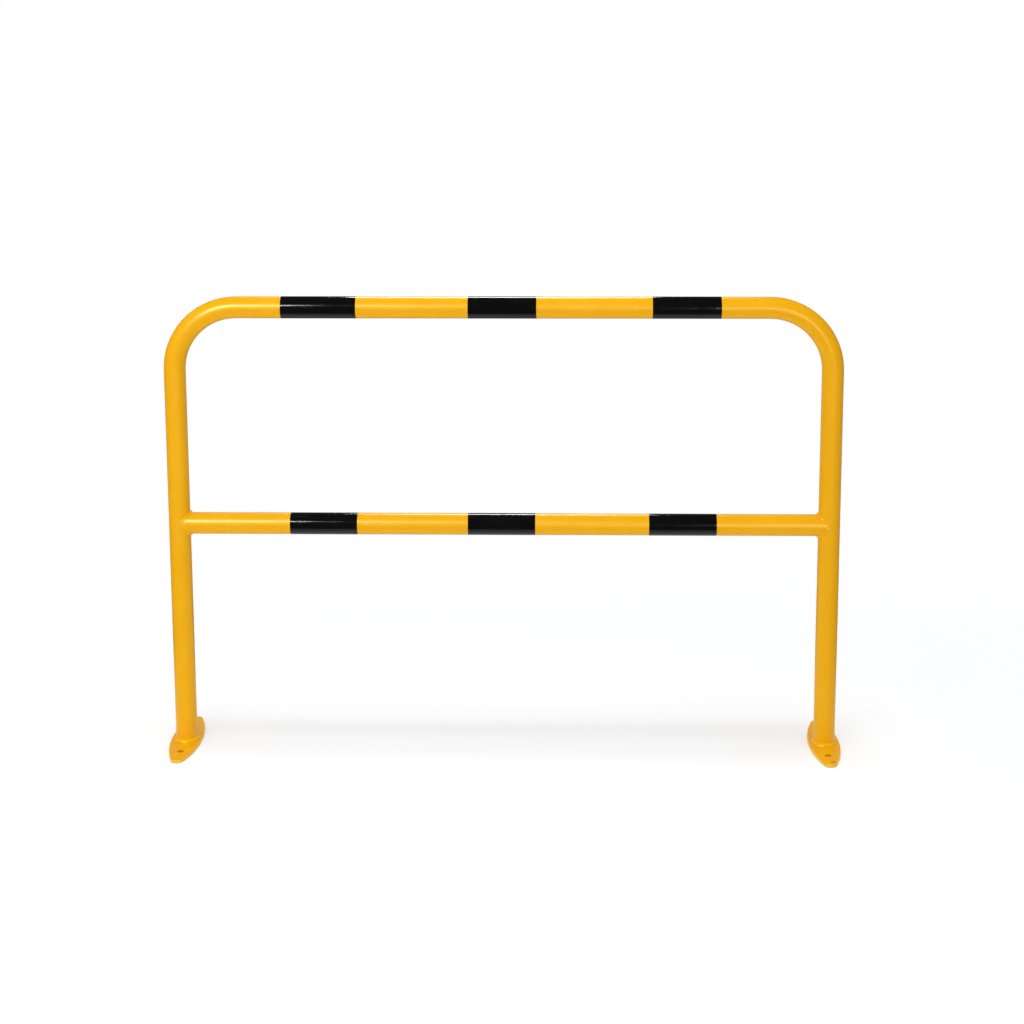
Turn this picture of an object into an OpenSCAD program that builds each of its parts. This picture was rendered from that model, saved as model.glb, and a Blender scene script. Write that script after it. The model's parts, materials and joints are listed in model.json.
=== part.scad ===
// Hoop barrier: a hoop bent from one steel tube, a cross rail coped onto its legs, and two oval base plates.
// Millimetres. X runs along the barrier, Y from its front to its back and Z up.
// The origin is on the floor, midway between the legs.

/* [Hoop] */
// Width over the outer sides of the legs
hoop_w = 1500; // [1300:10:2500]
// Height from the floor to the top of the hoop
hoop_h = 1030; // [900:5:1400]
// Outer diameter of the tube that the hoop and the cross rail are cut from
tube_d = 48.3; // [42:0.1:60.3]
// Wall of the tube
tube_wall = 2; // [1.5:0.1:4]
// Bend radius, at the middle of the tube
bend_r = 140; // [110:1:200]

/* [Cross rail] */
// Height from the floor to the middle of the cross rail
rail_z = 515; // [300:5:700]
// Fit-up gap between the rail's coped ends and the legs
cope_gap = 0.2; // [0.05:0.05:0.5]

/* [Base plates] */
// Length of a plate, from front to back
plate_l = 270; // [220:1:320]
// Width of a plate
plate_w = 70; // [66:1:110]
// Thickness of a plate
plate_t = 6; // [4:0.5:12]
// Radius of the plate's outline at its front and back ends
plate_end_r = 15; // [12:1:24]
// Rounding of the plate's upper edge
plate_edge_r = 2; // [0.5:0.25:3]
// Diameter of an anchor hole
hole_d = 14; // [8:0.5:18]
// Distance between a plate's two anchor holes
hole_pitch = 160; // [120:1:170]

/* [Welds] */
// Leg length of the fillet weld round each foot
foot_weld = 6; // [3:0.5:8]
// Rise of that fillet's face above a flat face
foot_weld_bulge = 0.7; // [0.2:0.1:1.5]
// Leg length of the rail weld in the corners above and below the rail
seam_leg_corner = 5; // [3:0.25:7]
// Leg length of the rail weld at the front and the back, where the rail runs flush with the leg
seam_leg_side = 3; // [2:0.25:5]
// Rise of the rail weld's face in those corners
seam_bulge_corner = 0.7; // [0.2:0.1:1.5]
// Rise of the rail weld's face at the front and the back
seam_bulge_side = 0.9; // [0.4:0.1:1.5]
// Gap between the rail weld's underside and the tubes
seam_gap = 0.06; // [0.04:0.01:0.1]

/* [Black bands] */
// Length of a band along its rail
band_w = 150; // [80:1:200]
// Length of the left band on the top rail
long_band_w = 165; // [80:1:200]
// Distance between the middles of neighbouring bands
band_pitch = 400; // [250:5:440]
// How far to the right of their places the outer bands of the top rail were stuck
top_band_drift = 4; // [-10:0.5:10]
// How far to the left of its place the middle band of the cross rail was stuck
rail_band_drift = 3; // [-10:0.5:10]
// Thickness of the film
film_t = 0.3; // [0.2:0.05:0.6]
// Thickness of the glue between the film and the tube
glue_t = 0.05; // [0.03:0.01:0.1]
// Overlap of the film's two ends, round the tube
film_lap = 14; // [6:1:25]
// Where the overlap lies, in degrees from straight down towards the back
lap_at = 60; // [0:5:120]

/* [Hidden] */
LEFT = -1;
RIGHT = 1;
coat_yellow = "#F2AE14";
film_black = "#141414";
round_fn = 96;

tube_r = tube_d / 2;
bore_r = tube_r - tube_wall;
leg_x = hoop_w / 2 - tube_r;
top_z = hoop_h - tube_r;
bend_x = leg_x - bend_r;
bend_z = top_z - bend_r;

// A tube's cross-section, centred on the origin
module tube_section() {
    difference() {
        circle(r = tube_r, $fn = round_fn);
        circle(r = bore_r, $fn = round_fn);
    }
}

// A straight tube along +Z from the origin
module straight_tube(length) {
    linear_extrude(height = length) tube_section();
}

// A quarter bend in the XZ plane about the origin, from +X round to +Z
module tube_bend() {
    rotate([90, 0, 0])
        rotate_extrude(angle = 90, $fn = 2 * round_fn)
            translate([bend_r, 0]) tube_section();
}

// One leg with the bend above it, on the right
module leg_and_bend() {
    translate([leg_x, 0, plate_t]) straight_tube(bend_z - plate_t);
    translate([bend_x, 0, bend_z]) tube_bend();
}

module hoop_tube() {
    color(coat_yellow) {
        leg_and_bend();
        mirror([1, 0, 0]) leg_and_bend();
        translate([-bend_x, 0, top_z]) rotate([0, 90, 0]) straight_tube(2 * bend_x);
    }
}

// The rail's ends stop at the middles of the legs and are cut away round them
module cross_rail() {
    color(coat_yellow)
        difference() {
            translate([-leg_x, 0, rail_z]) rotate([0, 90, 0]) straight_tube(2 * leg_x);
            for (side = [LEFT, RIGHT])
                translate([side * leg_x, 0, rail_z])
                    cylinder(r = tube_r + cope_gap, h = 2 * tube_d, center = true, $fn = round_fn);
        }
}

// A plate's outline is two long side arcs and two short end arcs that meet without a corner
end_y = plate_l / 2 - plate_end_r;
side_r = (end_y * end_y + plate_w * plate_w / 4 - plate_end_r * plate_end_r) / (plate_w - 2 * plate_end_r);
side_x = side_r - plate_w / 2;
tangent_x = side_x / (side_r - plate_end_r);
tangent_y = end_y / (side_r - plate_end_r);
// How far the dividing lines between side arcs and end arcs run past the end arcs' centres
divide_l = plate_w;

// A disc of the plate's thickness with a rounded upper edge
module plate_disc(r) {
    rotate_extrude($fn = 2 * round_fn) {
        square([r, plate_t - plate_edge_r]);
        square([r - plate_edge_r, plate_t]);
        translate([r - plate_edge_r, plate_t - plate_edge_r]) intersection() {
            circle(r = plate_edge_r, $fn = round_fn);
            square(plate_edge_r);
        }
    }
}

// The part of the plate between the two end arcs
module plate_middle() {
    far_x = tangent_x * divide_l;
    far_y = end_y + tangent_y * divide_l;
    intersection() {
        translate([-side_x, 0, 0]) plate_disc(side_r);
        translate([side_x, 0, 0]) plate_disc(side_r);
        linear_extrude(height = plate_t)
            polygon([[0, end_y], [far_x, far_y], [far_x, -far_y],
                     [0, -end_y], [-far_x, -far_y], [-far_x, far_y]]);
    }
}

module base_plate(side) {
    color(coat_yellow)
        translate([side * leg_x, 0, 0])
            difference() {
                union() {
                    plate_middle();
                    for (end = [-1, 1]) translate([0, end * end_y, 0]) plate_disc(plate_end_r);
                }
                for (end = [-1, 1])
                    translate([0, end * hole_pitch / 2, -plate_t])
                        cylinder(d = hole_d, h = 3 * plate_t, $fn = round_fn);
            }
}

// The fillet weld's face is an arc that rises above the straight line between its two toes
fillet_face_r = (foot_weld * foot_weld / 2 + foot_weld_bulge * foot_weld_bulge) / (2 * foot_weld_bulge);
fillet_centre = foot_weld / 2 - (fillet_face_r - foot_weld_bulge) / sqrt(2);

module base_weld(side) {
    color(coat_yellow)
        translate([side * leg_x, 0, plate_t])
            rotate_extrude($fn = 2 * round_fn)
                translate([tube_r, 0]) intersection() {
                    square(foot_weld);
                    translate([fillet_centre, fillet_centre]) circle(r = fillet_face_r, $fn = 4 * round_fn);
                }
}

// The seam between the rail and a leg is two half ellipses at 45 degrees, here the one over the rail. Seen from the
// leg's axis it starts at the back (0 degrees), climbs over the rail (90 degrees) and ends at the front (180 degrees).
seam_steps = 40;
seam_r = tube_r + seam_gap;
function blend(side, corner, a) = side + (corner - side) * pow(max(0, sin(a)), 2);
function seam_point(a) = seam_r * [-sin(a), cos(a), sin(a)];
function seam_out(a) = [-sin(a) / sqrt(2), cos(a), sin(a) / sqrt(2)];

// A strand is a line along the weld. It is given by how far it lies from the seam along the rail and along the leg,
// in leg lengths of the weld, and by its share of the bulge. The face runs from the toe on the rail to the toe on the
// leg, and the underside goes back along the leg to the seam.
face_steps = 6;
strands = [
    for (i = [0 : face_steps]) let (u = i / face_steps) [u - 1, u, 4 * u * (1 - u)],
    [0, 0.5, 0],
    [0, 0, 0]];
function strand_point(strand, a) =
    seam_point(a)
    + blend(seam_leg_side, seam_leg_corner, a) * [strand[0], 0, strand[1]]
    + blend(seam_bulge_side, seam_bulge_corner, a) * strand[2] * seam_out(a);
// Each strand runs on past the seam's ends until it meets its mirror image under the rail
function strand_start(strand) =
    -asin(strand[1] * seam_leg_side / (seam_r + seam_bulge_side * strand[2] / sqrt(2)));
function strand_angle(strand, k) = strand_start(strand) + (180 - 2 * strand_start(strand)) * k / seam_steps;

// The weld round one end of the rail: over it from back to front, and back under it
module rail_weld(side) {
    across = len(strands);
    over = [for (k = [0 : seam_steps]) [for (strand = strands) strand_point(strand, strand_angle(strand, k))]];
    under = [for (k = [seam_steps - 1 : -1 : 1]) [for (p = over[k]) [p.x, p.y, -p.z]]];
    sections = concat(over, under);
    count = len(sections);
    color(coat_yellow)
        translate([side * leg_x, 0, rail_z])
            mirror([side == LEFT ? 1 : 0, 0, 0])
                polyhedron(
                    points = [for (section = sections) each section],
                    faces = [
                        for (k = [0 : count - 1], i = [0 : across - 1])
                            let (j = (i + 1) % across,
                                 near = k * across,
                                 next = (k + 1) % count * across)
                            each [[near + i, near + j, next + j], [near + i, next + j, next + i]]
                    ]);
}

// A film sleeve of the given length round a tube along X, with one overlap
module film_band(length) {
    film_bore_r = tube_r + glue_t;
    film_r = film_bore_r + film_t;
    lap_angle = film_lap / film_r * 180 / PI;
    color(film_black)
        translate([-length / 2, 0, 0])
            rotate([0, 90, 0]) {
                linear_extrude(height = length)
                    difference() {
                        circle(r = film_r, $fn = round_fn);
                        circle(r = film_bore_r, $fn = round_fn);
                    }
                rotate([0, 0, lap_at - lap_angle / 2])
                    rotate_extrude(angle = lap_angle, $fn = round_fn)
                        translate([film_r, 0]) square([film_t, length]);
            }
}

// A longer band keeps its inner edge where the others have theirs, and grows outwards
module top_band(place, length) {
    middle = band_pitch + (length - band_w) / 2;
    drift = abs(place) * top_band_drift;
    translate([place * middle + drift, 0, top_z]) film_band(length);
}

module rail_band(place) {
    drift = (1 - abs(place)) * rail_band_drift;
    translate([place * band_pitch - drift, 0, rail_z]) film_band(band_w);
}

hoop_tube();
cross_rail();
base_plate(LEFT);  // base_plate_left
base_plate(RIGHT);  // base_plate_right
base_weld(LEFT);  // base_weld_left
base_weld(RIGHT);  // base_weld_right
rail_weld(LEFT);  // rail_weld_left
rail_weld(RIGHT);  // rail_weld_right
top_band(LEFT, long_band_w);  // top_band_left
top_band(0, band_w);  // top_band_middle
top_band(RIGHT, band_w);  // top_band_right
rail_band(LEFT);  // rail_band_left
rail_band(0);  // rail_band_middle
rail_band(RIGHT);  // rail_band_right
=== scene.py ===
# Hoop barrier in yellow powder coat with black film bands. Metres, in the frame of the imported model.
import json
import math
import random

import bmesh
import bpy
from mathutils import Matrix, Vector


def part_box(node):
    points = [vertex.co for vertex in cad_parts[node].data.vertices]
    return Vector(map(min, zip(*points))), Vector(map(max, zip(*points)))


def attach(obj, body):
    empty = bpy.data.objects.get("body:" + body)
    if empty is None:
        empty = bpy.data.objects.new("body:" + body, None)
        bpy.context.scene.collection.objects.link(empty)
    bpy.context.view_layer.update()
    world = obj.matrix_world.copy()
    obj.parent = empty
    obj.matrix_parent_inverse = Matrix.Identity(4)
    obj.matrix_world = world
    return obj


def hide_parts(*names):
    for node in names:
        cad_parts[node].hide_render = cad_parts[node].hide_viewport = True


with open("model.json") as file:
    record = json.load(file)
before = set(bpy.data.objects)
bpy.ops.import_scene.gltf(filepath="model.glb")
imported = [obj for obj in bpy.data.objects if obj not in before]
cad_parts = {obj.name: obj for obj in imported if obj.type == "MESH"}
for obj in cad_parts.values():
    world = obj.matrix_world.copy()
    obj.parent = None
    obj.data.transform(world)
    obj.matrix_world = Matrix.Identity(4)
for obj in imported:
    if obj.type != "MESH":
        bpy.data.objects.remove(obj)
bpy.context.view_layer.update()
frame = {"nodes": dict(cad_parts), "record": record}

MM = 0.001
SQRT_2 = math.sqrt(2)

# Sizes read from the frame
PLATE_LOW, PLATE_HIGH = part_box("base_plate_left")
PLATE_T = PLATE_HIGH.z
PLATE_L = PLATE_HIGH.y - PLATE_LOW.y
PLATE_W = PLATE_HIGH.x - PLATE_LOW.x
LEG_X = -(PLATE_LOW.x + PLATE_HIGH.x) / 2
HOOP_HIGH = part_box("hoop_tube")[1]
TUBE_R = HOOP_HIGH.x - LEG_X
RAIL_LOW, RAIL_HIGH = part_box("cross_rail")
RAIL_Z = (RAIL_LOW.z + RAIL_HIGH.z) / 2
FOOT_WELD_LOW, FOOT_WELD_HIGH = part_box("base_weld_left")
FOOT_WELD = FOOT_WELD_HIGH.z - FOOT_WELD_LOW.z
SIDES = {"left": -1, "right": 1}

# Sizes repeated from the part's source. A pair gives the saddle weld's sides, then its corners.
PLATE_END_R = 15 * MM
PLATE_EDGE_R = 2 * MM
HOLE_R = 7 * MM
HOLE_Y = 80 * MM
FOOT_WELD_BULGE = 0.7 * MM
SEAM_R = TUBE_R + 0.06 * MM
SEAM_LEGS = (3 * MM, 5 * MM)
SEAM_BULGES = (0.9 * MM, 0.7 * MM)

# Camera: the photograph's frame is square, and its middle row looks lower than the lens does
PHOTO_W = 1024
FOCAL_PX = 2021.1
LENS_AXIS_ROW = 325
SENSOR_W = 36.0
CAMERA_AT = Vector((0.1376, -4.3646, 1.7541))
CAMERA_DOWN = math.radians(10.22)
CAMERA_HEADING = math.radians(1.525)
CAMERA_ROLL = math.radians(-0.204)

# Steps of the finer meshes, and the angle in degrees from which an edge is sharp
MERGE_DISTANCE = 0.002 * MM
PLATE_SHARP = 35.0
PLATE_SIDE_STEPS = 56
PLATE_END_STEPS = 20
PLATE_SEAM_STEPS = 24
PLATE_EDGE_STEPS = 6
# Rings over a plate's top: their share of the way from the hole to the rounded edge
PLATE_RINGS = (0.03, 0.12, 0.3, 0.55, 0.8, 0.95, 1.0)
# An anchor hole's broken edge: out from the bore and down from the top
HOLE_EDGE = (
    (0.0, 1.2 * MM),
    (0.2 * MM, 0.6 * MM),
    (0.5 * MM, 0.25 * MM),
    (0.85 * MM, 0.06 * MM),
    (1.2 * MM, 0.0),
)
BEAD_SHARP = 50.0
FOOT_BEAD_STEPS = 432
FOOT_BEAD_ACROSS = 12
RAIL_BEAD_STEPS = 220
RAIL_BEAD_ACROSS = 12

# Weld ripples. LEAN is how far a ripple runs ahead in the middle of the bead, PACE how uneven they are.
FOOT_BEAD_SEED = 10
FOOT_RIPPLES = 54
FOOT_RIPPLE = 0.11 * MM
FOOT_RIPPLE_LEAN = 0.8
FOOT_RIPPLE_PACE = 0.7
FOOT_TOE_DRIFT = 0.25 * MM
RAIL_BEAD_SEED = 20
RAIL_RIPPLE_PITCH = 3.0 * MM
RAIL_RIPPLE = 0.12 * MM
RAIL_RIPPLE_LEAN = 0.7
RAIL_RIPPLE_PACE = 0.6
# How fast the ripples fade in at the ends of half a seam, and its length over that of half a circle
RAIL_RIPPLE_FADE = 16
SEAM_STRETCH = 1.2
RIDGE_POWER = 0.7
RIDGE_MEAN = 0.6
# Random waves: their sizes before they are scaled, and sets of how many, the fewest and the most to a turn
WAVE_SIZES = (0.5, 1.0)
PACE_WAVES = (4, 2, 7)
DRIFT_WAVES = (6, 3, 19)

# Noise patterns: scale and detail. Most of a noise lies within NOISE_RANGE.
NOISE_RANGE = (0.3, 0.7)
COAT_PATCHES = (14.0, 3.0)
COAT_SPECKS = (900.0, 2.0)
COAT_PEEL = (420.0, 1.5)
COAT_WAVES = (45.0, 1.0)
DULL_AND_SHADE_PATCHES = (60.0, 3.0)
SHADE_SPECKS = (650.0, 3.0)
SCUFF_SPECKS = (400.0, 2.0)
FILM_PATCHES = (30.0, 3.0)
FILM_RIPPLES = (70.0, 2.0)
FILM_PEEL = (380.0, 1.0)

# Powder coat. Colours of the object's materials are sRGB, 0 to 255.
COAT_DEEP = (237, 170, 0)
COAT_BRIGHT = (244, 179, 0)
COAT_GRAIN = (232, 162, 0)
COAT_GRAIN_RANGE = (0.3, 0.75)
COAT_GRAIN_SHARE = 0.25
COAT_ROUGHNESS = (0.29, 0.35)
COAT_WAVE_DEPTH = 0.03 * MM
COAT_PEEL_DEPTH = 0.05 * MM
# The noise is turned, so that its grid doesn't run along the tubes
COAT_TURN = (0.6, 0.4, 0.9)
COAT_GLOSS = {"Specular_IOR_Level": 0.45, "Specular_Tint": (1.0, 0.92, 0.45, 1.0)}

# Plates' coat: duller patches that are partly painted shade, sides with painted light, painted shade in the
# bores and towards the floor, and one scuff of wear
# Duller patches over the whole plate: partly a duller coat, partly painted shade that darkens the plates'
# tops, which the lamps light more
DULL_AND_SHADE_COLOUR = (212, 148, 8)
DULL_AND_SHADE_SHARE = (0.3, 0.65)
# Painted light: the plates' sides, below the top, are paler as if lit
SIDE_LIGHT_COLOUR = (255, 203, 52)
SIDE_LIGHT_SHARE = 0.6
SIDE_LIGHT_BELOW_TOP = (0.5 * MM, 0.05 * MM)
# Painted shade: a darker colour in the anchor holes' bores
BORE_SHADE_COLOUR = (200, 130, 2)
BORE_SHADE_RIM = (0.3 * MM, 1.2 * MM)
# Painted shade: darker towards the floor along the plate's bottom edge, with a ragged border
LOW_EDGE_SHADE_COLOUR = (138, 100, 48)
LOW_EDGE_SHADE_SHARE = 0.7
LOW_EDGE_SHADE_HEIGHT = (0.6 * MM, 1.8 * MM)
SHADE_RAGGED = 0.9 * MM
SCUFF_AT = (LEG_X + 6.5 * MM, -117.0 * MM, PLATE_T)
SCUFF_SIZE = (12.0 * MM, 7.0 * MM, 2.0 * MM)
SCUFF_EDGE = (0.7, 1.1)
SCUFF_RAGGED = 0.8
SCUFF_COLOUR = (150, 95, 15)
SCUFF_SHARE = 0.9
SCUFF_ROUGHNESS = 0.2

# Vinyl film
FILM_DEEP = (8, 8, 9)
FILM_PALE = (15, 15, 15)
FILM_ROUGHNESS = (0.06, 0.10)
FILM_RIPPLE_DEPTH = 0.07 * MM
FILM_PEEL_DEPTH = 0.02 * MM
FILM_GLOSS = {"Specular_IOR_Level": 0.27}

# Floor: the colour that the camera sees, the darker one that lights the object, and where its shadow fades
WHITE = (1.0, 1.0, 1.0, 1.0)
FLOOR_HALF = 60.0
FLOOR_ALBEDO = (0.88, 0.888, 0.9, 1.0)
FLOOR_BOUNCE = (0.64, 0.64, 0.64, 1.0)
SHADOW_FADE = (0.5, 1.5)

# Dark room and its backdrop, which has soft borders at the top, the sides and the front
ROOM_R = 6.5
ROOM_H = 5.2
ROOM_STEPS = 64
ROOM_LEVEL = 0.04
SWEEP_EDGE = (0.2, 0.75)
SWEEP_GAP = 0.002
BACKDROP_TOP = (2.4, 3.2)
BACKDROP_SIDE = (3.4, 4.8)
BACKDROP_FRONT = (0.3, 2.0)
BACKDROP_LEVEL = 0.5

# Light. Soft boxes: place, point aimed at, width, height, power in watts and the only rays that see them.
WORLD_LEVEL = 0.53
SOFT_BOXES = {
    "key_left": ((-2.04, -4.1, 3.1), (0.0, 0.0, 0.8), 1.9, 1.3, 306.0, "glossy"),
    "left_bounce": ((-1.45, -3.7, 2.0), (0.0, 0.0, 0.7), 2.0, 2.0, 70.0, "diffuse"),
    "fill_right": ((1.75, -6.0, 1.27), (0.7, 0.0, 0.8), 1.5, 2.2, 100.0, "glossy"),
    "right_bounce": ((1.75, -6.0, 1.27), (0.7, 0.0, 0.8), 1.5, 2.2, 21.0, "diffuse"),
    "back_strip": ((-0.15, 3.4, 4.0), (0.0, 0.0, 0.8), 1.35, 0.35, 80.0, "glossy"),
    "back_bounce": ((-0.2, 3.0, 4.4), (0.0, 0.0, 0.8), 1.4, 0.5, 28.0, "diffuse"),
}
OVERHEAD_STRENGTH = 1.3
OVERHEAD_ANGLE = math.radians(24)
OVERHEAD_LEAN = math.radians(3.5)

# The Mix node's sockets for two colours and their mixture
MIX_COLOURS = (6, 7)
MIX_RESULT = 2


class Nodes:
    """A node tree with short calls to add nodes and links."""

    def __init__(self, tree):
        self.tree = tree
        tree.nodes.clear()

    def add(self, kind, settings=None, **inputs):
        node = self.tree.nodes.new(kind)
        for name, value in (settings or {}).items():
            setattr(node, name, value)
        for name, value in inputs.items():
            self.put(node.inputs[name.replace("_", " ")], value)
        return node

    def put(self, socket, value):
        if isinstance(value, bpy.types.NodeSocket):
            self.tree.links.new(value, socket)
        else:
            socket.default_value = value

    def place(self):
        return self.add("ShaderNodeTexCoord").outputs["Object"]

    def parts(self, vector):
        return self.add("ShaderNodeSeparateXYZ", Vector=vector).outputs

    def length(self, vector):
        return self.add("ShaderNodeVectorMath", {"operation": "LENGTH"}, Vector=vector).outputs["Value"]

    def math(self, operation, *values, kind="ShaderNodeMath"):
        node = self.add(kind, {"operation": operation})
        for socket, value in zip(node.inputs, values):
            self.put(socket, value)
        return node.outputs[0]

    def vector_math(self, operation, *values):
        return self.math(operation, *values, kind="ShaderNodeVectorMath")

    def ramp(self, value, low, high, to_low=0.0, to_high=1.0):
        node = self.add("ShaderNodeMapRange", {"interpolation_type": "SMOOTHSTEP"}, Value=value,
                        From_Min=low, From_Max=high, To_Min=to_low, To_Max=to_high)
        return node.outputs["Result"]

    def noise(self, place, pattern):
        scale, detail = pattern
        return self.add("ShaderNodeTexNoise", Vector=place, Scale=scale, Detail=detail).outputs["Fac"]

    def bump(self, height, distance, **under):
        return self.add("ShaderNodeBump", Height=height, Distance=distance, **under).outputs["Normal"]

    def mix_colours(self, share, first, second):
        node = self.add("ShaderNodeMix", {"data_type": "RGBA"}, Factor=share)
        for number, colour in zip(MIX_COLOURS, (first, second)):
            self.put(node.inputs[number], colour)
        return node.outputs[MIX_RESULT]

    def mix_shaders(self, share, first, second):
        node = self.add("ShaderNodeMixShader", Fac=share)
        for socket, shader in zip(node.inputs[1:], (first, second)):
            self.put(socket, shader)
        return node.outputs[0]

    def finish(self, surface, kind="ShaderNodeOutputMaterial"):
        self.add(kind, Surface=surface)


def linear(colour):
    """An sRGB colour, 0 to 255, as the linear colour that a shader takes."""
    shares = [c / 255 for c in colour]
    return [s / 12.92 if s <= 0.04045 else ((s + 0.055) / 1.055) ** 2.4 for s in shares] + [1.0]


def new_material(name):
    material = bpy.data.materials.new(name)
    material.use_nodes = True
    return material, Nodes(material.node_tree)


def new_object(name, data):
    made = bpy.data.objects.new(name, data)
    bpy.context.scene.collection.objects.link(made)
    return made


def weave(points, faces, rows, closed=True, wrapped=False):
    """Adds rows of points and the faces between each row and the next.

    Closed rows run round to their own start. When wrapped, the last row is joined to the first one."""
    base = len(points)
    size = len(rows[0])
    for row in rows:
        points.extend(row)
    for number in range(len(rows) if wrapped else len(rows) - 1):
        near = base + number * size
        far = base + (number + 1) % len(rows) * size
        for k in range(size if closed else size - 1):
            after = (k + 1) % size
            faces.append((near + k, near + after, far + after, far + k))


def add_piece(name, node, points, faces, material, sharp_angle):
    """A closed, smoothly shaded mesh in the yellow coat that stands for one CAD node."""
    mesh = bpy.data.meshes.new(name)
    shape = bmesh.new()
    corners = [shape.verts.new(p) for p in points]
    for face in faces:
        shape.faces.new([corners[k] for k in face])
    bmesh.ops.remove_doubles(shape, verts=shape.verts, dist=MERGE_DISTANCE)
    bmesh.ops.recalc_face_normals(shape, faces=shape.faces)
    for face in shape.faces:
        face.smooth = True
    for edge in shape.edges:
        edge.smooth = edge.calc_face_angle(0.0) < math.radians(sharp_angle)
    shape.to_mesh(mesh)
    shape.free()
    mesh.materials.append(material)
    piece = new_object(name, mesh)
    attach(piece, "root")
    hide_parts(node)


def plate_outline():
    """The plate's outline in front of or behind the leg, from its right side round the end to its left side.

    Each entry is an arc's centre and radius and the outward direction there."""
    end_y = PLATE_L / 2 - PLATE_END_R
    side_r = (end_y ** 2 + PLATE_W ** 2 / 4 - PLATE_END_R ** 2) / (PLATE_W - 2 * PLATE_END_R)
    side_x = side_r - PLATE_W / 2
    tangent = math.atan2(end_y, side_x)
    outline = []
    for k in range(PLATE_SIDE_STEPS):
        turn = tangent * k / PLATE_SIDE_STEPS
        outline.append(((-side_x, 0.0), side_r, (math.cos(turn), math.sin(turn))))
    for k in range(PLATE_END_STEPS + 1):
        turn = tangent + (math.pi - 2 * tangent) * k / PLATE_END_STEPS
        outline.append(((0.0, end_y), PLATE_END_R, (math.cos(turn), math.sin(turn))))
    for k in range(PLATE_SIDE_STEPS - 1, -1, -1):
        turn = tangent * k / PLATE_SIDE_STEPS
        outline.append(((side_x, 0.0), side_r, (-math.cos(turn), math.sin(turn))))
    return outline


def inset_outline(outline, inset):
    return [(centre[0] + (radius - inset) * out[0], centre[1] + (radius - inset) * out[1])
            for centre, radius, out in outline]


def closed_round(outline, inset):
    """The inset outline and, back along the plate's middle line, the seam to the other half."""
    edge = inset_outline(outline, inset)
    last, first = edge[-1], edge[0]
    seam = []
    for k in range(1, PLATE_SEAM_STEPS):
        share = k / PLATE_SEAM_STEPS
        seam.append((last[0] + (first[0] - last[0]) * share, 0.0))
    return edge + seam


def around_hole(boundary, radius):
    """The points of a circle round the hole that lie towards the points of the boundary."""
    ring = []
    for x, y in boundary:
        reach = math.hypot(x, y - HOLE_Y)
        ring.append((x * radius / reach, HOLE_Y + (y - HOLE_Y) * radius / reach))
    return ring


def plate_top(outline):
    """Rings from the hole's lower rim up its wall, over its broken edge and out to the rounded edge."""
    border = closed_round(outline, PLATE_EDGE_R)
    rings = [(around_hole(border, HOLE_R), 0.0)]
    for outward, down in HOLE_EDGE:
        rings.append((around_hole(border, HOLE_R + outward), PLATE_T - down))
    inner = rings[-1][0]
    for share in PLATE_RINGS:
        ring = [(a[0] + (b[0] - a[0]) * share, a[1] + (b[1] - a[1]) * share)
                for a, b in zip(inner, border)]
        rings.append((ring, PLATE_T))
    return rings


def plate_edge(outline):
    """Rings down the rounded edge and the side."""
    rings = []
    for k in range(PLATE_EDGE_STEPS + 1):
        turn = math.pi / 2 * k / PLATE_EDGE_STEPS
        inset = PLATE_EDGE_R * (1 - math.sin(turn))
        rings.append((inset_outline(outline, inset), PLATE_T - PLATE_EDGE_R * (1 - math.cos(turn))))
    rings.append((inset_outline(outline, 0.0), 0.0))
    return rings


def make_plate(name, side, material):
    """A base plate of the CAD plate's form, with finer arcs and broken hole edges."""
    outline = plate_outline()
    bore = around_hole(closed_round(outline, PLATE_EDGE_R), HOLE_R)
    underside = [(closed_round(outline, 0.0), 0.0), (bore, 0.0)]
    points, faces = [], []
    for half in (1, -1):
        for rings, closed in ((plate_top(outline), True), (plate_edge(outline), False), (underside, True)):
            rows = [[(x + side * LEG_X, half * y, z) for x, y in ring] for ring, z in rings]
            weave(points, faces, rows, closed)
    add_piece("plate_" + name, "base_plate_" + name, points, faces, material, PLATE_SHARP)


def wave_sum(seed, count, low, high):
    """A smooth random function of an angle, between about -1 and 1, with whole waves in a turn."""
    source = random.Random(seed)
    waves = [(source.randint(low, high), source.uniform(0, 2 * math.pi), source.uniform(*WAVE_SIZES))
             for _ in range(count)]
    total = sum(size for _, _, size in waves)
    return lambda angle: sum(size * math.sin(k * angle + start) for k, start, size in waves) / total


def hump(share):
    """0 at both ends and 1 in the middle."""
    return 4 * share * (1 - share)


def ripple(phase):
    """The height of the bead's ripples, one for each whole phase: rounded ridges with narrow valleys."""
    return abs(math.cos(math.pi * phase)) ** RIDGE_POWER - RIDGE_MEAN


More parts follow.
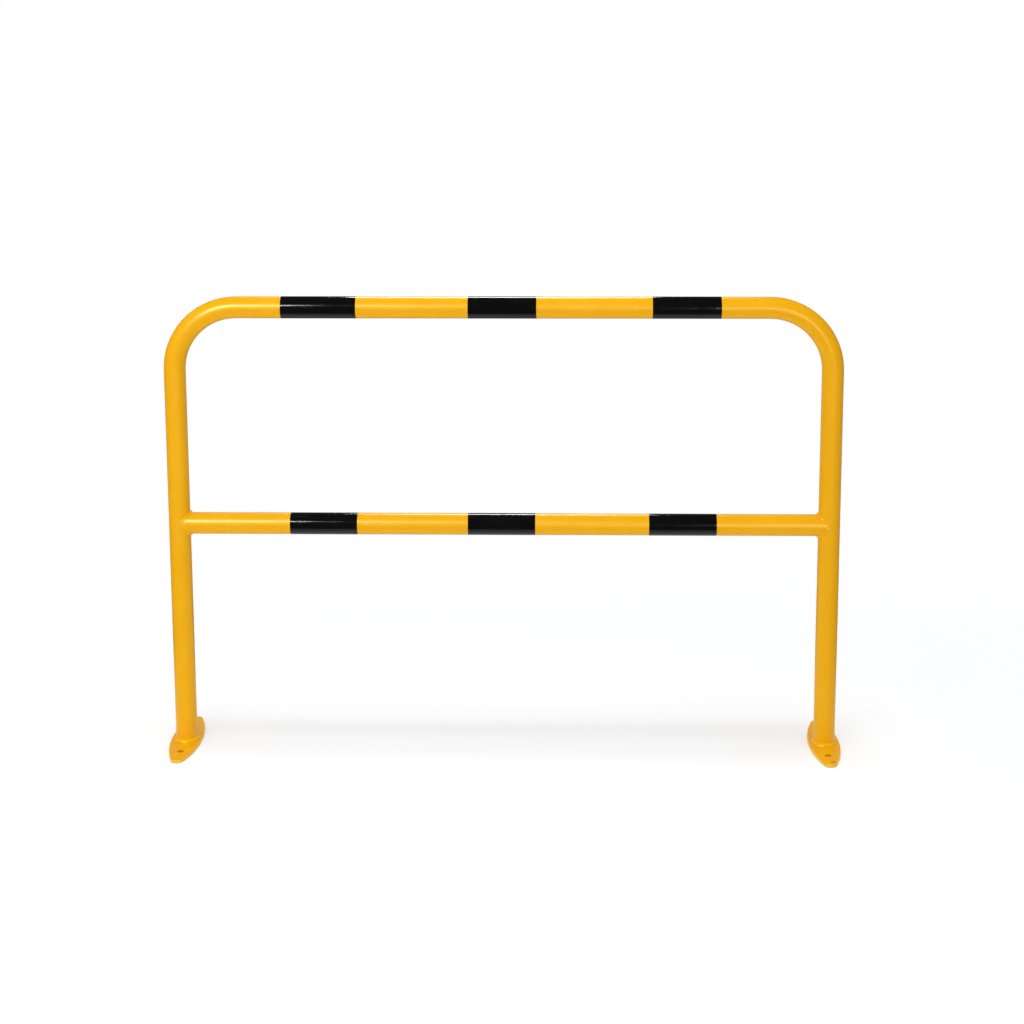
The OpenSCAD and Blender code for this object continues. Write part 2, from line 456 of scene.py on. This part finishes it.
def make_foot_bead(name, side, material, seed):
    """The fillet weld round a leg's foot: the CAD weld's form with ripples and uneven toes."""
    face_r = (FOOT_WELD ** 2 / 2 + FOOT_WELD_BULGE ** 2) / (2 * FOOT_WELD_BULGE)
    centre = FOOT_WELD / 2 - (face_r - FOOT_WELD_BULGE) / SQRT_2
    toe_turn = math.atan2(-centre, FOOT_WELD - centre)
    pace = wave_sum(seed, *PACE_WAVES)
    drift = wave_sum(seed + 1, *DRIFT_WAVES)
    rows = []
    for step in range(FOOT_BEAD_STEPS):
        angle = 2 * math.pi * step / FOOT_BEAD_STEPS
        section = []
        for k in range(FOOT_BEAD_ACROSS + 1):
            share = k / FOOT_BEAD_ACROSS
            turn = toe_turn + (math.pi / 2 - 2 * toe_turn) * share
            middle = hump(share)
            phase = FOOT_RIPPLES * angle / (2 * math.pi) + FOOT_RIPPLE_PACE * pace(angle)
            reach = face_r + FOOT_RIPPLE * middle * ripple(phase + FOOT_RIPPLE_LEAN * middle)
            slide = FOOT_TOE_DRIFT * (drift(angle) - 1) * (1 - middle)
            out = centre + reach * math.cos(turn) + slide * (1 - share)
            up = centre + reach * math.sin(turn) + slide * share
            section.append((TUBE_R + max(out, 0.0), PLATE_T + max(up, 0.0)))
        section.append((TUBE_R, PLATE_T))
        rows.append([(side * LEG_X + radius * math.cos(angle), radius * math.sin(angle), z)
                     for radius, z in section])
    points, faces = [], []
    weave(points, faces, rows, wrapped=True)
    add_piece("foot_bead_" + name, "base_weld_" + name, points, faces, material, BEAD_SHARP)


def between(ends, angle):
    """From the value at the weld's sides to the one in its corners above and below the rail."""
    return ends[0] + (ends[1] - ends[0]) * max(0.0, math.sin(angle)) ** 2


def rail_bead_strands():
    """The weld's section, as strands that run along it.

    Each is a place along the rail and along the leg, in leg lengths, and a share of the bulge. The strands
    go over the face from the rail to the leg, and back down the leg into the corner."""
    shares = [k / RAIL_BEAD_ACROSS for k in range(RAIL_BEAD_ACROSS + 1)]
    return [(share - 1, share, hump(share)) for share in shares] + [(0.0, 0.5, 0.0), (0.0, 0.0, 0.0)]


def rail_bead_start(strand):
    """The angle at which a strand meets its mirror image at the rail's mid-height."""
    reach = SEAM_R + SEAM_BULGES[0] * strand[2] / SQRT_2
    return -math.asin(strand[1] * SEAM_LEGS[0] / reach)


def rail_bead_point(strand, angle, lift):
    """A point of the weld over the rail's right end, seen from the leg's axis at the rail's height."""
    along_rail, along_leg, bulge = strand
    legs = between(SEAM_LEGS, angle)
    rise = between(SEAM_BULGES, angle) * bulge + lift
    out = (-math.sin(angle) / SQRT_2, math.cos(angle), math.sin(angle) / SQRT_2)
    return (-SEAM_R * math.sin(angle) + legs * along_rail + rise * out[0],
            SEAM_R * math.cos(angle) + rise * out[1],
            SEAM_R * math.sin(angle) + legs * along_leg + rise * out[2])


def make_rail_bead(name, side, material, seed):
    """The saddle weld round one end of the cross rail: the CAD weld's form with ripples."""
    strands = rail_bead_strands()
    pace = wave_sum(seed, *PACE_WAVES)
    seam_length = math.pi * SEAM_R * SEAM_STRETCH
    points, faces = [], []
    for flip in (1, -1):
        rows = []
        for step in range(RAIL_BEAD_STEPS + 1):
            share = step / RAIL_BEAD_STEPS
            fade = min(1.0, RAIL_RIPPLE_FADE * share * (1 - share))
            row = []
            for strand in strands:
                start = rail_bead_start(strand)
                angle = start + (math.pi - 2 * start) * share
                phase = share * seam_length / RAIL_RIPPLE_PITCH + RAIL_RIPPLE_PACE * pace(angle + flip)
                height = ripple(phase + RAIL_RIPPLE_LEAN * strand[2])
                x, y, z = rail_bead_point(strand, angle, RAIL_RIPPLE * strand[2] * fade * height)
                row.append((side * (LEG_X + x), y, RAIL_Z + flip * z))
            rows.append(row)
        weave(points, faces, rows)
    add_piece("rail_bead_" + name, "rail_weld_" + name, points, faces, material, BEAD_SHARP)


def coat_detail(nodes, place):
    """Colour, roughness and normal of the coat: orange peel, a slow waviness and an uneven thickness."""
    place = nodes.add("ShaderNodeMapping", Vector=place, Rotation=COAT_TURN).outputs[0]
    patches = nodes.noise(place, COAT_PATCHES)
    grain = nodes.ramp(nodes.noise(place, COAT_SPECKS), *COAT_GRAIN_RANGE, 0.0, COAT_GRAIN_SHARE)
    colour = nodes.mix_colours(patches, linear(COAT_DEEP), linear(COAT_BRIGHT))
    colour = nodes.mix_colours(grain, colour, linear(COAT_GRAIN))
    roughness = nodes.ramp(patches, *NOISE_RANGE, *COAT_ROUGHNESS)
    waves = nodes.bump(nodes.noise(place, COAT_WAVES), COAT_WAVE_DEPTH)
    normal = nodes.bump(nodes.noise(place, COAT_PEEL), COAT_PEEL_DEPTH, Normal=waves)
    return colour, roughness, normal


def finish_surface(nodes, colour, roughness, normal, gloss):
    surface = nodes.add("ShaderNodeBsdfPrincipled", Base_Color=colour, Roughness=roughness, Normal=normal,
                        **gloss)
    nodes.finish(surface.outputs[0])


def yellow_coat():
    """Semi-gloss powder coat on tubes and welds."""
    material, nodes = new_material("yellow_powder_coat")
    finish_surface(nodes, *coat_detail(nodes, nodes.place()), COAT_GLOSS)
    return material


def bore_shade_mask(nodes, place, ragged):
    """1 in the bores of the anchor holes, where shade is painted, falling to 0 at their rims."""
    parts = nodes.parts(place)
    aside = nodes.math("SUBTRACT", nodes.math("ABSOLUTE", parts["X"]), LEG_X)
    ahead = nodes.math("SUBTRACT", nodes.math("ABSOLUTE", parts["Y"]), HOLE_Y)
    reach = nodes.length(nodes.add("ShaderNodeCombineXYZ", X=aside, Y=ahead).outputs[0])
    spread = nodes.math("SUBTRACT", ragged, SHADE_RAGGED / 2)
    return nodes.ramp(nodes.math("ADD", reach, spread), HOLE_R + BORE_SHADE_RIM[0], HOLE_R + BORE_SHADE_RIM[1], 1.0, 0.0)


def scuff_mask(nodes, place):
    """1 in the one worn streak at the front of the right plate."""
    from_scuff = nodes.vector_math("SUBTRACT", place, SCUFF_AT)
    reach = nodes.length(nodes.vector_math("DIVIDE", from_scuff, SCUFF_SIZE))
    ragged = nodes.math("MULTIPLY", nodes.noise(place, SCUFF_SPECKS), SCUFF_RAGGED)
    return nodes.ramp(nodes.math("ADD", reach, ragged), *SCUFF_EDGE, 1.0, 0.0)


def plate_coat():
    """The powder coat of a base plate: duller patches that are partly painted shade, painted light on the
    sides, painted shade in the bores and at the bottom edge, and one scuff of wear.
    """
    material, nodes = new_material("yellow_plate_coat")
    place = nodes.place()
    colour, roughness, normal = coat_detail(nodes, place)
    height = nodes.parts(place)["Z"]
    # The ragged border of the painted shade in the bores and along the bottom edge
    ragged = nodes.math("MULTIPLY", nodes.noise(place, SHADE_SPECKS), SHADE_RAGGED)
    scuff = scuff_mask(nodes, place)
    layers = (
        # Duller patches, partly painted shade
        (nodes.ramp(nodes.noise(place, DULL_AND_SHADE_PATCHES), *NOISE_RANGE, *DULL_AND_SHADE_SHARE), DULL_AND_SHADE_COLOUR),
        # Painted light on the sides below the top
        (nodes.ramp(height, *[PLATE_T - down for down in SIDE_LIGHT_BELOW_TOP], SIDE_LIGHT_SHARE, 0.0), SIDE_LIGHT_COLOUR),
        # Painted shade in the bores
        (bore_shade_mask(nodes, place, ragged), BORE_SHADE_COLOUR),
        # Painted shade along the bottom edge
        (nodes.ramp(nodes.math("ADD", height, ragged), *LOW_EDGE_SHADE_HEIGHT, LOW_EDGE_SHADE_SHARE, 0.0), LOW_EDGE_SHADE_COLOUR),
        (nodes.math("MULTIPLY", scuff, SCUFF_SHARE), SCUFF_COLOUR),
    )
    for share, layer in layers:
        colour = nodes.mix_colours(share, colour, linear(layer))
    roughness = nodes.math("ADD", roughness, nodes.math("MULTIPLY", scuff, SCUFF_ROUGHNESS))
    finish_surface(nodes, colour, roughness, normal, COAT_GLOSS)
    return material


def black_film():
    """Glossy vinyl film that follows the orange peel under it, with a few faint ripples."""
    material, nodes = new_material("black_vinyl_film")
    place = nodes.place()
    patches = nodes.noise(place, FILM_PATCHES)
    colour = nodes.mix_colours(patches, linear(FILM_DEEP), linear(FILM_PALE))
    roughness = nodes.ramp(patches, *NOISE_RANGE, *FILM_ROUGHNESS)
    ripples = nodes.bump(nodes.noise(place, FILM_RIPPLES), FILM_RIPPLE_DEPTH)
    normal = nodes.bump(nodes.noise(place, FILM_PEEL), FILM_PEEL_DEPTH, Normal=ripples)
    finish_surface(nodes, colour, roughness, normal, FILM_GLOSS)
    return material


def dress_nodes(materials):
    """Gives each CAD node the material of its slot."""
    for subpart in frame["record"]["subparts"]:
        node = frame["nodes"][subpart["node"]]
        node.data.materials.clear()
        node.data.materials.append(materials[subpart["material_slot"]])


def make_camera():
    data = bpy.data.cameras.new("camera")
    data.sensor_width = SENSOR_W
    data.lens = FOCAL_PX / PHOTO_W * SENSOR_W
    data.shift_y = (LENS_AXIS_ROW - PHOTO_W / 2) / PHOTO_W
    camera = new_object("camera", data)
    heading = Matrix.Rotation(CAMERA_HEADING, 4, "Z")
    tilt = Matrix.Rotation(math.pi / 2 - CAMERA_DOWN, 4, "X")
    roll = Matrix.Rotation(CAMERA_ROLL, 4, "Z")
    camera.matrix_world = Matrix.Translation(CAMERA_AT) @ heading @ tilt @ roll
    bpy.context.scene.camera = camera


def white_rays(nodes):
    """1 for the rays that see the background as it is: camera, glossy and transmission rays."""
    path = nodes.add("ShaderNodeLightPath")
    seen = nodes.math("MAXIMUM", path.outputs["Is Camera Ray"], path.outputs["Is Glossy Ray"])
    return nodes.math("MAXIMUM", seen, path.outputs["Is Transmission Ray"])


def distance_from_barrier(nodes):
    """How far a point of the set lies from the line on the floor between the two legs."""
    parts = nodes.parts(nodes.place())
    past_leg = nodes.math("SUBTRACT", nodes.math("ABSOLUTE", parts["X"]), LEG_X)
    along = nodes.math("MAXIMUM", past_leg, 0.0)
    return nodes.length(nodes.add("ShaderNodeCombineXYZ", X=along, Y=parts["Y"], Z=parts["Z"]).outputs[0])


def make_world():
    world = bpy.data.worlds.new("studio")
    world.use_nodes = True
    nodes = Nodes(world.node_tree)
    light = nodes.add("ShaderNodeBackground", Color=WHITE, Strength=WORLD_LEVEL).outputs[0]
    white = nodes.add("ShaderNodeBackground", Color=WHITE, Strength=1.0).outputs[0]
    nodes.finish(nodes.mix_shaders(white_rays(nodes), light, white), "ShaderNodeOutputWorld")
    # The world's light is taken by the rays that reach it, so the dark room hides it from reflections
    world.cycles.sampling_method = "NONE"
    bpy.context.scene.world = world


def make_floor():
    """A white floor that keeps the shadow near the object and fades to plain white away from it.

    Diffuse rays find it darker than the camera does, so that it throws less light on the undersides."""
    material, nodes = new_material("white_floor")
    far = nodes.ramp(distance_from_barrier(nodes), *SHADOW_FADE)
    matt = nodes.add("ShaderNodeBsdfDiffuse", Color=FLOOR_ALBEDO).outputs[0]
    white = nodes.add("ShaderNodeEmission", Strength=1.0).outputs[0]
    bounce = nodes.add("ShaderNodeBsdfDiffuse", Color=FLOOR_BOUNCE).outputs[0]
    seen = nodes.mix_shaders(far, matt, white)
    nodes.finish(nodes.mix_shaders(white_rays(nodes), bounce, seen))
    mesh = bpy.data.meshes.new("floor")
    corners = [(x * FLOOR_HALF, y * FLOOR_HALF, 0) for x, y in ((-1, -1), (1, -1), (1, 1), (-1, 1))]
    mesh.from_pydata(corners, [], [(0, 1, 2, 3)])
    mesh.materials.append(material)
    floor = new_object("floor", mesh)


def room_material():
    """Unlit walls with a pale backdrop, clear in the white sweep round the feet."""
    material, nodes = new_material("dark_room")
    parts = nodes.parts(nodes.place())
    low = nodes.ramp(parts["Z"], *BACKDROP_TOP, 1.0, 0.0)
    middle = nodes.ramp(nodes.math("ABSOLUTE", parts["X"]), *BACKDROP_SIDE, 1.0, 0.0)
    behind = nodes.ramp(parts["Y"], *BACKDROP_FRONT)
    backdrop = nodes.math("MULTIPLY", behind, nodes.math("MULTIPLY", low, middle))
    level = nodes.ramp(backdrop, 0.0, 1.0, ROOM_LEVEL, BACKDROP_LEVEL)
    clear = nodes.add("ShaderNodeBsdfTransparent").outputs[0]
    walls = nodes.add("ShaderNodeEmission", Strength=level).outputs[0]
    off_the_sweep = nodes.ramp(distance_from_barrier(nodes), *SWEEP_EDGE)
    nodes.finish(nodes.mix_shaders(off_the_sweep, clear, walls))
    return material


def make_dark_room():
    """The room round the barrier, which shows only in reflections."""
    turns = [2 * math.pi * step / ROOM_STEPS for step in range(ROOM_STEPS)]
    rows = []
    for radius, height in ((0.0, SWEEP_GAP), (ROOM_R, SWEEP_GAP), (ROOM_R, ROOM_H), (0.0, ROOM_H)):
        rows.append([(radius * math.cos(turn), radius * math.sin(turn), height) for turn in turns])
    points, faces = [], []
    weave(points, faces, rows)
    mesh = bpy.data.meshes.new("dark_room")
    mesh.from_pydata(points, [], faces)
    mesh.materials.append(room_material())
    room = new_object("dark_room", mesh)
    for rays in ("camera", "diffuse", "transmission", "volume_scatter", "shadow"):
        setattr(room, "visible_" + rays, False)


def make_lamps():
    """Soft boxes that only glossy or only diffuse rays see, and an overhead sun.

    The ones for diffuse rays throw no shadow. The shadow on the floor is the sun's and the world's."""
    for name, (place, aim, width, height, power, rays) in SOFT_BOXES.items():
        data = bpy.data.lights.new(name, "AREA")
        data.shape = "RECTANGLE"
        data.size = width
        data.size_y = height
        data.energy = power
        data.use_shadow = rays == "glossy"
        lamp = new_object(name, data)
        lamp.location = place
        lamp.rotation_euler = (Vector(aim) - Vector(place)).to_track_quat("-Z", "Y").to_euler()
        lamp.visible_camera = False
        lamp.visible_diffuse = rays == "diffuse"
        lamp.visible_glossy = rays == "glossy"
    data = bpy.data.lights.new("overhead", "SUN")
    data.energy = OVERHEAD_STRENGTH
    data.angle = OVERHEAD_ANGLE
    lamp = new_object("overhead", data)
    lamp.rotation_euler.x = OVERHEAD_LEAN
    lamp.visible_glossy = False


bpy.context.scene.view_settings.view_transform = "Standard"
make_camera()
make_world()
make_floor()
make_dark_room()
make_lamps()
TUBE_COAT = yellow_coat()
dress_nodes({"yellow_coat": TUBE_COAT, "black_film": black_film()})
PLATE_COAT = plate_coat()
for number, (name, side) in enumerate(SIDES.items()):
    make_plate(name, side, PLATE_COAT)
    make_foot_bead(name, side, TUBE_COAT, FOOT_BEAD_SEED + number)
    make_rail_bead(name, side, TUBE_COAT, RAIL_BEAD_SEED + number)
